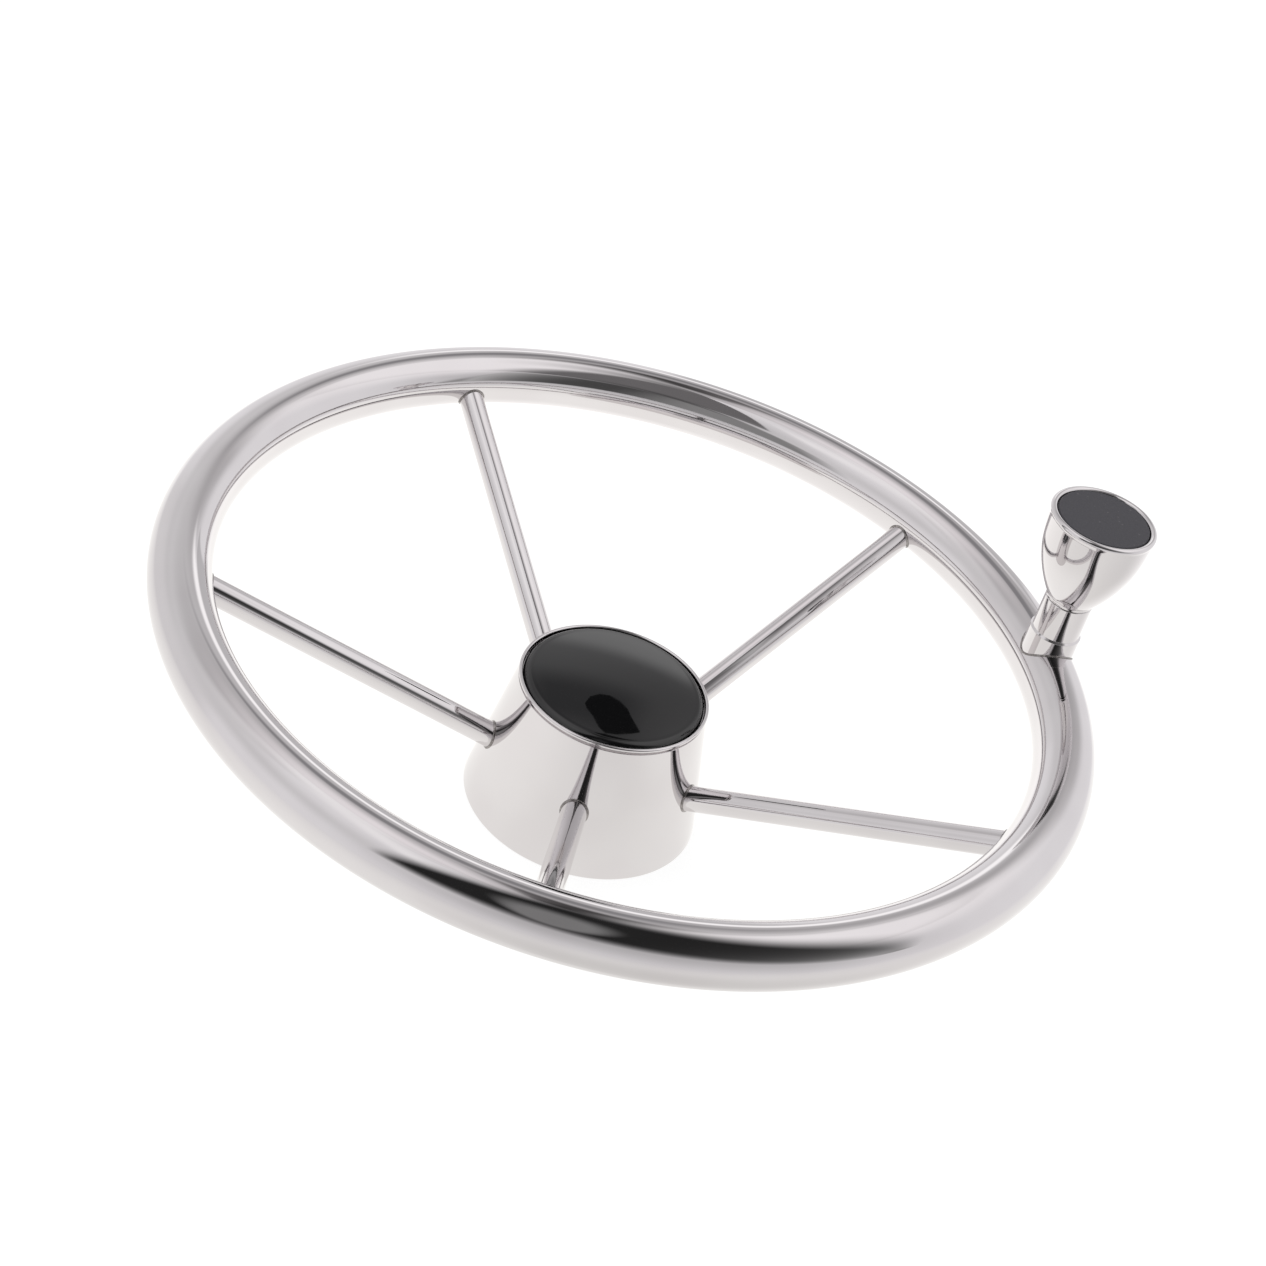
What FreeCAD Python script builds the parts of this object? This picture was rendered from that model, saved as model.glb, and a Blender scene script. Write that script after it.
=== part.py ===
import FreeCAD, Part
import os
from math import atan2, cos, degrees, radians, sin, sqrt

# Stainless boat steering wheel: a tube rim on five dished rod spokes, a spun hub shell
# with a tapered-shaft boss inside, a black centre cap and a free-turning knob.
# Millimetres. Origin at the centre of the hub's back face, +Z along the shaft
# towards the helmsman. One spoke points along -Y, the knob stands at +X a little up.

V = FreeCAD.Vector
ORIGIN = V(0, 0, 0)
UP = V(0, 0, 1)

# Rim: one tube bent to a ring and closed by a butt weld
rim_outer_dia = 343.0
rim_tube_dia = 22.2
rim_tube_wall = 1.5
rim_height = 80.6  # middle plane of the rim above the hub's back face

# Spokes: straight rods, coped on the rim tube and welded to the boss
spoke_count = 5
spoke_dia = 9.5
spoke_first_deg = 270.0
spoke_root_height = 16.0  # height of a spoke's axis where it meets the boss

# Hub shell: one spun cone with a hemmed lip and a sunk ledge for the cap
shell_base_dia = 88.6
shell_lip_dia = 72.8
shell_height = 55.3
shell_wall = 1.2
shell_base_round = 1.0
lip_proud = 0.7  # how far the rolled lip stands out from the cone
ledge_drop = 3.0  # from the top of the lip down to the ledge
ledge_width = 2.0
collar_depth = 6.0  # turned-down collar that guides the cap's skirt

# Hub boss, for a 3/4 inch shaft with a 1 in 12 taper
boss_dia = 38.0
boss_edge = 1.0
taper_mouth_dia = 19.05
taper_ratio = 12.0  # length for each unit of diameter
throat_dia = 16.5  # straight bore past the taper, clear of the shaft's thread
throat_length = 6.0
keyway_width = 4.76
keyway_depth = 2.4
keyway_deg = 90.0

# Back plate, welded between the shell and the boss
back_plate_thick = 3.0

# Shaft nut and its washer
nut_across_flats = 23.8
nut_height = 9.5
nut_hole_dia = 14.5
nut_countersink = 0.8
washer_dia = 30.0
washer_hole_dia = 15.2  # over the shaft's thread
washer_thick = 2.0
shaft_end_room = 4.6  # between the nut and the underside of the ledge

# Centre cap and its sealing ring
cap_gap = 0.3  # round the cap's edge, inside the lip
cap_edge = 2.2
cap_edge_round = 1.4
cap_dome = 2.4
cap_wall = 2.4
skirt_gap = 0.3  # between the skirt and the collar
skirt_wall = 3.4
skirt_depth = 7.5
ring_dia = 2.3  # section of the sealing ring
ring_groove_depth = 2.1
ring_groove_width = 2.7
ring_drop = 3.2  # from the ledge down to the middle of the ring

# Knob stem, coped on the rim tube and welded
knob_deg = 22.0
stem_dia = 18.0
stem_height = 19.9  # above the top of the rim tube
stem_edge = 0.2
stem_foot_dia = 19.4
stem_foot_height = 5.2
tapped_depth = 14.0

# Shoulder screw that carries the knob
screw_thread_dia = 8.0
screw_thread_length = 12.0
screw_shoulder_dia = 10.0
screw_head_dia = 16.0
screw_head_height = 5.0
screw_head_edge = 0.6
screw_socket_flats = 5.0
screw_socket_depth = 3.0
screw_washer_dia = 15.6
screw_washer_thick = 1.0

# Flanged bushes of the knob
bush_dia = 13.0
bush_length = 9.0
bush_flange_dia = 16.4
bush_flange_thick = 1.0
bush_clearance = 0.05
knob_play = 0.2  # end play, shared by both flanges

# Knob: spun cup with a hemmed mouth, cast core and pressed-in disc
knob_dia = 40.0
knob_neck_dia = 18.0  # flush with the stem
knob_neck_fillet = 1.5
knob_neck_gap = 0.3  # between the stem and the neck's skirt
knob_height = 35.8  # from the neck to the top of the lip
knob_wall = 1.25
flange_room = 0.1  # round the lower flange, inside the neck's skirt
knob_hem_depth = 2.0
core_gap = 0.15
well_dia = 18.4  # well in the core for the screw's head
well_room = 1.5
disc_gap = 0.2
disc_thick = 3.7
disc_sunk = 0.4
disc_edge = 0.4
disc_spigot = 1.5

# Worked out from the sizes above
rim_ring_radius = (rim_outer_dia - rim_tube_dia) / 2
rim_top = rim_height + rim_tube_dia / 2
boss_radius = boss_dia / 2
lip_radius = shell_lip_dia / 2 - shell_wall
lip_centre = shell_height - shell_wall
mouth_radius = lip_radius - shell_wall
flank_base = shell_base_dia / 2
flank_top = shell_lip_dia / 2 - lip_proud
flank_slope = (flank_base - flank_top) / lip_centre
wall_across = shell_wall * sqrt(1 + flank_slope**2)
ledge_top = shell_height - ledge_drop
collar_radius = mouth_radius - ledge_width
boss_height = ledge_top - shell_wall - shaft_end_room - nut_height - washer_thick
cap_radius = mouth_radius - cap_gap
skirt_radius = collar_radius - skirt_gap
ring_height = ledge_top - ring_drop

stem_top = rim_top + stem_height
neck_bottom = stem_top + knob_play + bush_flange_thick
skirt_bottom = stem_top + knob_neck_gap
knob_radius = knob_dia / 2
knob_top = neck_bottom + knob_height
hem_height = knob_top - knob_wall
knob_swell = (knob_dia - knob_neck_dia) / 2
flank_rise = hem_height - neck_bottom
# the flank is one arc that is upright at the knob's widest place
flank_arc = (knob_swell**2 + flank_rise**2) / (2 * knob_swell)
flank_axis = knob_radius - flank_arc
disc_radius = knob_radius - 2 * knob_wall - disc_gap
disc_top = knob_top - disc_sunk
disc_seat = disc_top - disc_thick
head_top = disc_seat - disc_spigot - well_room
head_seat = head_top - screw_head_height
well_floor = head_seat - screw_washer_thick - knob_play - bush_flange_thick

knob_place = V(
    rim_ring_radius * cos(radians(knob_deg)),
    rim_ring_radius * sin(radians(knob_deg)),
    0,
)


# A point of a turned piece's outline, from its radius and height
def at(radius, height):
    return V(radius, 0, height)


# A point on a circle drawn in the outline's plane
def on_circle(radius, height, reach, degrees_up):
    return (
        radius + reach * cos(radians(degrees_up)),
        height + reach * sin(radians(degrees_up)),
    )


# Turns an outline about the Z axis. A step of two numbers is a straight run to that
# radius and height, and a step of two points is an arc through the first to the second.
def turned(outline):
    edges = []
    first = at(*outline[0])
    last = first
    for step in outline[1:]:
        if isinstance(step[0], tuple):
            end = at(*step[1])
            edges.append(Part.Arc(last, at(*step[0]), end).toShape())
        else:
            end = at(*step)
            edges.append(Part.LineSegment(last, end).toShape())
        last = end
    if last.distanceToPoint(first) > 1e-6:
        edges.append(Part.LineSegment(last, first).toShape())
    solid = Part.Face(Part.Wire(edges)).revolve(ORIGIN, UP, 360)
    return outward(solid)


def outward(solid):
    return solid.reversed() if solid.Volume < 0 else solid


# A plain ring or disc between two heights
def ring(outer, inner, low, high):
    return turned([(inner, low), (outer, low), (outer, high), (inner, high)])


def hexagon(across_flats, low, high):
    corner = across_flats / sqrt(3)
    corners = [
        V(corner * cos(radians(60 * i)), corner * sin(radians(60 * i)), low)
        for i in range(7)
    ]
    return Part.Face(Part.makePolygon(corners)).extrude(V(0, 0, high - low))


def rim_envelope():
    return Part.makeTorus(rim_ring_radius, rim_tube_dia / 2, V(0, 0, rim_height), UP)


def rim_tube():
    inside = Part.makeTorus(
        rim_ring_radius, rim_tube_dia / 2 - rim_tube_wall, V(0, 0, rim_height), UP
    )
    return rim_envelope().cut(inside)


# The full rod of a spoke, from inside the boss to the middle of the rim tube
def spoke_rod(number):
    angle = radians(spoke_first_deg + 360.0 / spoke_count * number)
    outwards = V(cos(angle), sin(angle), 0)
    root = outwards * boss_radius + UP * spoke_root_height
    tip = outwards * rim_ring_radius + UP * rim_height
    along = (tip - root).normalize()
    start = root - along * (boss_radius / 2)
    return Part.makeCylinder(spoke_dia / 2, start.distanceToPoint(tip), start, along)


# A spoke ends in a fish mouth on the rim tube and in a cope on the boss
def spoke(number):
    boss_side = Part.makeCylinder(boss_radius, rim_height, ORIGIN, UP)
    return spoke_rod(number).cut(rim_envelope()).cut(boss_side)


def flank_radius(height):
    return flank_base - flank_slope * height


def shell_inside(height):
    return flank_radius(height) - wall_across


# The cone runs up to the hem, folds over it, comes down inside the mouth,
# turns in as the cap's ledge and down again as its collar
def hub_shell():
    edge = min(shell_base_round, 0.8 * shell_wall)
    cone = turned(
        [
            (shell_inside(0), 0),
            (flank_base - edge, 0),
            (
                on_circle(flank_radius(edge) - edge, edge, edge, -45),
                (flank_radius(edge), edge),
            ),
            (flank_radius(lip_centre), lip_centre),
            (shell_inside(lip_centre), lip_centre),
        ]
    )
    bead = turned(
        [
            (lip_radius + shell_wall, lip_centre),
            ((lip_radius, shell_height), (mouth_radius, lip_centre)),
            ((lip_radius, lip_centre - shell_wall), (lip_radius + shell_wall, lip_centre)),
        ]
    )
    ledge_under = ledge_top - shell_wall
    mouth = turned(
        [
            (lip_radius, lip_centre),
            (mouth_radius, lip_centre),
            (mouth_radius, ledge_top),
            (collar_radius, ledge_top),
            (collar_radius, ledge_top - collar_depth),
            (collar_radius + shell_wall, ledge_top - collar_depth),
            (collar_radius + shell_wall, ledge_under),
            (shell_inside(ledge_under), ledge_under),
            (lip_radius, ledge_top),
        ]
    )
    shell = cone.fuse([bead, mouth]).removeSplitter()
    for number in range(spoke_count):
        shell = shell.cut(spoke_rod(number))
    return shell


def hub_boss():
    taper_length = boss_height - throat_length
    small_radius = (taper_mouth_dia - taper_length / taper_ratio) / 2
    body = turned(
        [
            (0, 0),
            (boss_radius, 0),
            (boss_radius, boss_height - boss_edge),
            (boss_radius - boss_edge, boss_height),
            (0, boss_height),
        ]
    )
    taper = Part.makeCone(taper_mouth_dia / 2, small_radius, taper_length, ORIGIN, UP)
    throat = Part.makeCylinder(throat_dia / 2, boss_height, ORIGIN, UP)
    return body.cut(taper).cut(throat.common(above(taper_length))).cut(keyway())


def above(height):
    side = shell_base_dia
    return Part.makeBox(2 * side, 2 * side, side, V(-side, -side, height))


# The keyway's floor follows the taper and runs out through the throat
def keyway():
    mouth_floor = taper_mouth_dia / 2 + keyway_depth
    end_floor = mouth_floor - boss_height / taper_ratio / 2
    half = keyway_width / 2
    side = [
        V(0, -half, 0),
        V(mouth_floor, -half, 0),
        V(end_floor, -half, boss_height),
        V(0, -half, boss_height),
        V(0, -half, 0),
    ]
    slot = Part.Face(Part.makePolygon(side)).extrude(V(0, keyway_width, 0))
    return slot.rotated(ORIGIN, UP, keyway_deg)


def hub_back_plate():
    return turned(
        [
            (boss_radius, 0),
            (shell_inside(0), 0),
            (shell_inside(back_plate_thick), back_plate_thick),
            (boss_radius, back_plate_thick),
        ]
    )


def shaft_washer():
    return ring(
        washer_dia / 2, washer_hole_dia / 2, boss_height, boss_height + washer_thick
    )


# A hexagon nut with both faces chamfered and a countersunk hole
def shaft_nut():
    low = boss_height + washer_thick
    high = low + nut_height
    corner = nut_across_flats / sqrt(3)
    face = nut_across_flats / 2 - 0.2
    drop = (corner - face) / sqrt(3)
    hole = nut_hole_dia / 2
    rounded = turned(
        [
            (hole, low + nut_countersink),
            (hole + nut_countersink, low),
            (face, low),
            (corner, low + drop),
            (corner, high - drop),
            (face, high),
            (hole + nut_countersink, high),
            (hole, high - nut_countersink),
        ]
    )
    return hexagon(nut_across_flats, low, high).common(rounded)


# Domed cap with a rounded edge, hollow underneath, and a skirt with a ring groove
def centre_cap():
    edge_top = ledge_top + cap_edge
    crown = edge_top + cap_dome
    edge = min(cap_edge_round, 0.8 * cap_edge)
    flat_radius = cap_radius - edge
    sphere = (flat_radius**2 + cap_dome**2) / (2 * cap_dome)
    half_way = flat_radius / 2
    dome_half = crown - sphere + sqrt(sphere**2 - half_way**2)
    inner = skirt_radius - skirt_wall
    inner_half = inner / 2
    inner_sphere = sphere - cap_wall
    sphere_centre = crown - sphere
    groove = skirt_radius - ring_groove_depth
    half_groove = ring_groove_width / 2
    return turned(
        [
            (0, crown),
            ((half_way, dome_half), (flat_radius, edge_top)),
            (
                on_circle(flat_radius, edge_top - edge, edge, 45),
                (cap_radius, edge_top - edge),
            ),
            (cap_radius, ledge_top),
            (skirt_radius, ledge_top),
            (skirt_radius, ring_height + half_groove),
            (groove, ring_height + half_groove),
            (groove, ring_height - half_groove),
            (skirt_radius, ring_height - half_groove),
            (skirt_radius, ledge_top - skirt_depth),
            (inner, ledge_top - skirt_depth),
            (inner, sphere_centre + sqrt(inner_sphere**2 - inner**2)),
            (
                (inner_half, sphere_centre + sqrt(inner_sphere**2 - inner_half**2)),
                (0, sphere_centre + inner_sphere),
            ),
        ]
    )


def cap_ring():
    reach = skirt_radius - ring_groove_depth + ring_dia / 2
    return Part.makeTorus(reach, ring_dia / 2, V(0, 0, ring_height), UP)


# The stem's foot is a fish mouth on the rim tube
def knob_stem():
    hole = screw_thread_dia / 2
    foot_top = rim_top + stem_foot_height
    hole_end = stem_top - tapped_depth
    body = turned(
        [
            (0, rim_height),
            (stem_foot_dia / 2, rim_height),
            (stem_foot_dia / 2, foot_top),
            (stem_dia / 2, foot_top + (stem_foot_dia - stem_dia) / 2),
            (stem_dia / 2, stem_top - stem_edge),
            (stem_dia / 2 - stem_edge, stem_top),
            (hole, stem_top),
            (hole, hole_end),
            (0, hole_end - hole / sqrt(3)),
        ]
    )
    return body.translated(knob_place).cut(rim_envelope())


def knob_screw():
    thread = screw_thread_dia / 2
    shoulder = screw_shoulder_dia / 2
    head = screw_head_dia / 2
    screw = turned(
        [
            (0, stem_top - screw_thread_length),
            (thread, stem_top - screw_thread_length),
            (thread, stem_top),
            (shoulder, stem_top),
            (shoulder, head_seat),
            (head, head_seat),
            (head, head_top - screw_head_edge),
            (head - screw_head_edge, head_top),
            (0, head_top),
        ]
    )
    socket = hexagon(screw_socket_flats, head_top - screw_socket_depth, head_top)
    return screw.cut(socket).translated(knob_place)


def screw_washer():
    washer = ring(
        screw_washer_dia / 2,
        screw_shoulder_dia / 2,
        head_seat - screw_washer_thick,
        head_seat,
    )
    return washer.translated(knob_place)


# A flanged bush. The sleeve points up from the flange, or down with way = -1.
def bush(flange_face, way):
    bore = screw_shoulder_dia / 2 + bush_clearance
    sleeve = bush_dia / 2
    flange_back = flange_face + way * bush_flange_thick
    end = flange_back + way * bush_length
    shape = turned(
        [
            (bore, flange_face),
            (bush_flange_dia / 2, flange_face),
            (bush_flange_dia / 2, flange_back),
            (sleeve, flange_back),
            (sleeve, end),
            (bore, end),
        ]
    )
    return shape.translated(knob_place)


def knob_lower_bush():
    return bush(stem_top + knob_play, 1)


def knob_upper_bush():
    return bush(well_floor + bush_flange_thick, -1)


# Radius of the knob's flank at a height, moved inwards by a wall
def knob_flank(height, inwards):
    reach = flank_arc - inwards
    return flank_axis + sqrt(reach**2 - (hem_height - height) ** 2)


# Where a fillet that is tangent to the neck and to the flank begins, its middle and its end
def neck_fillet():
    neck = knob_neck_dia / 2
    reach = min(knob_neck_fillet, 1.6 * (neck_bottom - skirt_bottom))
    centre = neck + reach
    aside = centre - flank_axis
    drop = sqrt((flank_arc + reach) ** 2 - aside**2)
    level = hem_height - drop
    turn = degrees(atan2(drop, -aside))
    middle = on_circle(centre, level, reach, (180 + turn) / 2)
    return (neck, level), middle, on_circle(centre, level, reach, turn)


# The cup's flank is an arc, and its mouth is folded in as a round hem.
# A short skirt below the neck covers the lower flange.
def knob_shell():
    floor = neck_bottom + knob_wall
    hem_end = hem_height - knob_hem_depth
    half_inside = (floor + hem_end) / 2
    flange_side = bush_flange_dia / 2 + flange_room
    fillet_start, fillet_middle, fillet_end = neck_fillet()
    half_rise = (fillet_end[1] + hem_height) / 2
    cup = turned(
        [
            (bush_dia / 2, neck_bottom),
            (flange_side, neck_bottom),
            (flange_side, skirt_bottom),
            (knob_neck_dia / 2, skirt_bottom),
            fillet_start,
            (fillet_middle, fillet_end),
            (
                (knob_flank(half_rise, 0), half_rise),
                (knob_radius, hem_height),
            ),
            (
                (knob_radius - knob_wall, knob_top),
                (knob_radius - 2 * knob_wall, hem_height),
            ),
            (knob_radius - 2 * knob_wall, hem_end),
            (knob_flank(hem_end, knob_wall), hem_end),
            (
                (knob_flank(half_inside, knob_wall), half_inside),
                (knob_flank(floor, knob_wall), floor),
            ),
            (bush_dia / 2, floor),
        ]
    )
    return cup.translated(knob_place)


# The core fills the cup, carries both bushes and has a well for the screw's head
def knob_core():
    floor = neck_bottom + knob_wall
    inwards = knob_wall + core_gap
    half_rise = (floor + disc_seat) / 2
    core = turned(
        [
            (bush_dia / 2, floor),
            (knob_flank(floor, inwards), floor),
            (
                (knob_flank(half_rise, inwards), half_rise),
                (knob_flank(disc_seat, inwards), disc_seat),
            ),
            (well_dia / 2, disc_seat),
            (well_dia / 2, well_floor),
            (bush_dia / 2, well_floor),
        ]
    )
    return core.translated(knob_place)


def knob_disc():
    disc = turned(
        [
            (0, disc_seat - disc_spigot),
            (well_dia / 2, disc_seat - disc_spigot),
            (well_dia / 2, disc_seat),
            (disc_radius, disc_seat),
            (disc_radius, disc_top - disc_edge),
            (disc_radius - disc_edge, disc_top),
            (0, disc_top),
        ]
    )
    return disc.translated(knob_place)


pieces = {
    "rim_tube": rim_tube(),
    "hub_shell": hub_shell(),
    "hub_boss": hub_boss(),
    "hub_back_plate": hub_back_plate(),
    "shaft_washer": shaft_washer(),
    "shaft_nut": shaft_nut(),
    "centre_cap": centre_cap(),
    "cap_ring": cap_ring(),
    "knob_stem": knob_stem(),
    "knob_screw": knob_screw(),
    "screw_washer": screw_washer(),
    "knob_lower_bush": knob_lower_bush(),
    "knob_upper_bush": knob_upper_bush(),
    "knob_shell": knob_shell(),
    "knob_core": knob_core(),
    "knob_disc": knob_disc(),
}
for number in range(spoke_count):
    pieces[f"spoke_{number + 1}"] = spoke(number)

os.makedirs("parts", exist_ok=True)
for name, shape in pieces.items():
    solids = outward(shape).Solids
    solid = solids[0] if len(solids) == 1 else Part.makeCompound(solids)
    solid.exportStep(f"parts/{name}.step")
    print(f"{name}: {len(solids)} solid, {shape.Volume / 1000:.2f} cm3, valid {shape.isValid()}")
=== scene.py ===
from math import atan2, cos, degrees, hypot, pi, radians, sin, sqrt, tan

import bmesh
import bpy
from mathutils import Matrix, Vector


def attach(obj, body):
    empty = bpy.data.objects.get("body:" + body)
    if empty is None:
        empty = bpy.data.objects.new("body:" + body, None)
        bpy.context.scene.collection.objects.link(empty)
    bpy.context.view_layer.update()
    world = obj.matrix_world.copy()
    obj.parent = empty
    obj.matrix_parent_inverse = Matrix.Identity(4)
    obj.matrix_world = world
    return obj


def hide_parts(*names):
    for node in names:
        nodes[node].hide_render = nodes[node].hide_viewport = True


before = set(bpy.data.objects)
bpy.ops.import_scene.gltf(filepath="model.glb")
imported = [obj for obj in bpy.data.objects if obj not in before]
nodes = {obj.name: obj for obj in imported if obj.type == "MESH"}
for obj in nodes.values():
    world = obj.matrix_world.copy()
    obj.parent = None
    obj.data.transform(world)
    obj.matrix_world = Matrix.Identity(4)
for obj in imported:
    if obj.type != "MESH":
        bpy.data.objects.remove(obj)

scene = bpy.context.scene
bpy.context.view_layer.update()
mm = 0.001
print("stage: frame loaded,", len(nodes), "CAD nodes")


def putIn(name, data):
    thing = bpy.data.objects.new(name, data)
    scene.collection.objects.link(thing)
    return thing


cameraSettings = {
    "elevation": 35.5865,  # degrees above the floor, looking along +Y
    "roll": 17.8762,
    "distance": 943.067 * mm,
    "aside": -0.0351 * mm,  # where the aim point lies in the picture
    "below": -1.0230 * mm,
    "aimHeight": 80.6 * mm,
    "lens": 75.541,
    "clipStart": 0.01,
}


def placeCamera(s):
    lift, roll = radians(s["elevation"]), radians(s["roll"])
    towardsCamera = Vector((0, -cos(lift), sin(lift)))
    right = Vector((1, 0, 0))
    up = towardsCamera.cross(right)
    turnedRight = right * cos(roll) + up * sin(roll)
    turnedUp = up * cos(roll) - right * sin(roll)
    place = Vector((0, 0, s["aimHeight"])) + towardsCamera * s["distance"]
    place += turnedUp * s["below"] - turnedRight * s["aside"]
    data = bpy.data.cameras.new("photoCamera")
    data.lens = s["lens"]
    data.clip_start = s["clipStart"]
    camera = putIn("photoCamera", data)
    turn = Matrix((turnedRight, turnedUp, towardsCamera)).transposed()
    camera.matrix_world = Matrix.Translation(place) @ turn.to_4x4()
    scene.camera = camera


placeCamera(cameraSettings)
scene.view_settings.view_transform = "Standard"
print("stage: camera placed")


# Sets a node's inputs by name or number: another node's output is linked, a value is written
def feed(tree, node, inputs):
    for name, value in inputs.items():
        socket = node.inputs[name]
        if hasattr(value, "is_output"):
            tree.links.new(value, socket)
        elif socket.type == "RGBA":
            socket.default_value = (*value, 1.0)
        else:
            socket.default_value = value


def addNode(tree, kind, inputs=None, **settings):
    node = tree.nodes.new(kind)
    for name, value in settings.items():
        setattr(node, name, value)
    feed(tree, node, inputs or {})
    return node


# Adds a node and gives its first output
def fromNode(tree, kind, inputs=None, **settings):
    return addNode(tree, kind, inputs, **settings).outputs[0]


def mathNode(tree, operation, *values):
    return fromNode(tree, "ShaderNodeMath", dict(enumerate(values)), operation=operation)


def vectorNode(tree, operation, *values):
    return addNode(tree, "ShaderNodeVectorMath", dict(enumerate(values)), operation=operation).outputs


def scaledVector(tree, vector, amount):
    return fromNode(tree, "ShaderNodeVectorMath", {0: vector, "Scale": amount}, operation="SCALE")


def product(tree, first, *others):
    for other in others:
        first = mathNode(tree, "MULTIPLY", first, other)
    return first


def hypotNode(tree, first, second):
    squares = [mathNode(tree, "POWER", value, 2.0) for value in (first, second)]
    return mathNode(tree, "SQRT", mathNode(tree, "ADD", *squares))


def axes(tree, vector):
    return addNode(tree, "ShaderNodeSeparateXYZ", {0: vector}).outputs


def objectPlace(tree):
    return addNode(tree, "ShaderNodeTexCoord").outputs["Object"]


def ramp(tree, value, low, high, fromLevel=0.0, toLevel=1.0, kind="SMOOTHSTEP"):
    inputs = {"Value": value, "From Min": low, "From Max": high, "To Min": fromLevel, "To Max": toLevel}
    return addNode(tree, "ShaderNodeMapRange", inputs, interpolation_type=kind).outputs["Result"]


def mixColours(tree, mask, first, second):
    return addNode(tree, "ShaderNodeMix", {0: mask, 6: first, 7: second}, data_type="RGBA").outputs[2]


def mixShaders(tree, mask, first, second):
    return fromNode(tree, "ShaderNodeMixShader", {0: mask, 1: first, 2: second})


def clearShader(tree):
    return fromNode(tree, "ShaderNodeBsdfTransparent")


def glowShader(tree, strength, colour=(1.0, 1.0, 1.0)):
    return fromNode(tree, "ShaderNodeEmission", {"Strength": strength, "Color": colour})


def paintShader(tree, colour):
    return fromNode(tree, "ShaderNodeBsdfDiffuse", {"Color": colour})


def backSide(tree):
    return addNode(tree, "ShaderNodeNewGeometry").outputs["Backfacing"]


# One shader for the camera's rays, one for those that metal and glass send on, one for the rest
def byRay(tree, seen, mirrored, other):
    rays = addNode(tree, "ShaderNodeLightPath").outputs
    shiny = mathNode(tree, "MAXIMUM", rays["Is Glossy Ray"], rays["Is Transmission Ray"])
    rest = mixShaders(tree, shiny, other, mirrored)
    return mixShaders(tree, rays["Is Camera Ray"], rest, seen), rays["Is Camera Ray"]


# Adds named sockets. A word is a kind of socket, and a number the default of one.
def addSockets(tree, side, sockets):
    for label, value in sockets.items():
        named = isinstance(value, str)
        kind = value if named else "Int" if isinstance(value, int) else "Float"
        socket = tree.interface.new_socket(name=label, in_out=side, socket_type="NodeSocket" + kind)
        if not named:
            socket.default_value = value


def startGroup(name, inputs, kind="ShaderNodeTree"):
    group = bpy.data.node_groups.new(name, kind)
    addSockets(group, "INPUT", inputs)
    return group, group.nodes.new("NodeGroupInput").outputs


def endGroup(group, outputs, kind="Float"):
    addSockets(group, "OUTPUT", dict.fromkeys(outputs, kind))
    addNode(group, "NodeGroupOutput", outputs)
    return group


def placeGroup(tree, group, inputs):
    return addNode(tree, "ShaderNodeGroup", inputs, node_tree=group)


def bareMaterial(name):
    material = bpy.data.materials.new(name)
    material.use_nodes = True
    material.node_tree.nodes.clear()
    return material, material.node_tree


def surface(tree, shader):
    addNode(tree, "ShaderNodeOutputMaterial", {"Surface": shader})


# The studio that the polished steel mirrors: soft zones of light and dark on a pale tent
studioSettings = {
    "plainLevel": 0.92,  # light on matt surfaces
    "tent": (0.948, 0.938, 0.953),
    # name: centre azimuth, half width, low and high edge in degrees, softness, colour
    "zones": {
        "leftWall": (155, 29, -127, 300, 5.5, (0.842, 0.83, 0.838)),
        "farDip": (82, 9.5, -11, 20, 0.8, (0.644, 0.637, 0.646)),
        "nearLow": (-42, 65, -116, -41, 31, (0.01, 0.01, 0.01)),
        "farHaze": (108, 50, 24, 124, 11, (0.505, 0.495, 0.502)),
        "farDark": (81, 16, 59, 79, 4.3, (0.06, 0.057, 0.058)),
        "leftBand": (134, 29, 61, 76, 23, (1.50, 1.44, 1.465)),
        "nearBand": (-67, 54, -3.5, 65, 31, (0.578, 0.572, 0.58)),
        "rightDim": (-20, 91, 44, 123, 1.2, (0.18, 0.175, 0.178)),
        "leftGlow": (-168, 39, 58, 73, 7.4, (1.09, 1.08, 1.085)),
        "leftGrey": (173, 82, 17.5, 40, 14, (0.78, 0.772, 0.78)),
        "highGlow": (23, 50, 38, 78, 13, (1.12, 1.10, 1.11)),
        "capShade": (95, 10.5, 39.2, 51.5, 3.9, (0.30, 0.295, 0.305)),
        "capGlow": (90, 11, 19, 27.5, 2.8, (1.30, 1.29, 1.295)),
    },
}
zoneInputs = {
    "Azimuth": 0.0, "Elevation": 0.0, "Centre": 0.0, "Half Width": 30.0,
    "Low": 0.0, "High": 90.0, "Softness": 5.0,
}


def zoneGroup():
    group, given = startGroup("softZone", zoneInputs)

    def softEdge(value, edge, fromLevel, toLevel):
        near, far = (mathNode(group, side, given[edge], given["Softness"]) for side in ("SUBTRACT", "ADD"))
        return ramp(group, value, near, far, fromLevel, toLevel)

    away = mathNode(group, "SUBTRACT", given["Azimuth"], given["Centre"])
    away = mathNode(group, "ABSOLUTE", mathNode(group, "WRAP", away, 180.0, -180.0))
    side = softEdge(away, "Half Width", 1.0, 0.0)
    rise = softEdge(given["Elevation"], "Low", 0.0, 1.0)
    fall = softEdge(given["Elevation"], "High", 1.0, 0.0)
    return endGroup(group, {"Mask": product(group, side, rise, fall)})


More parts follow.
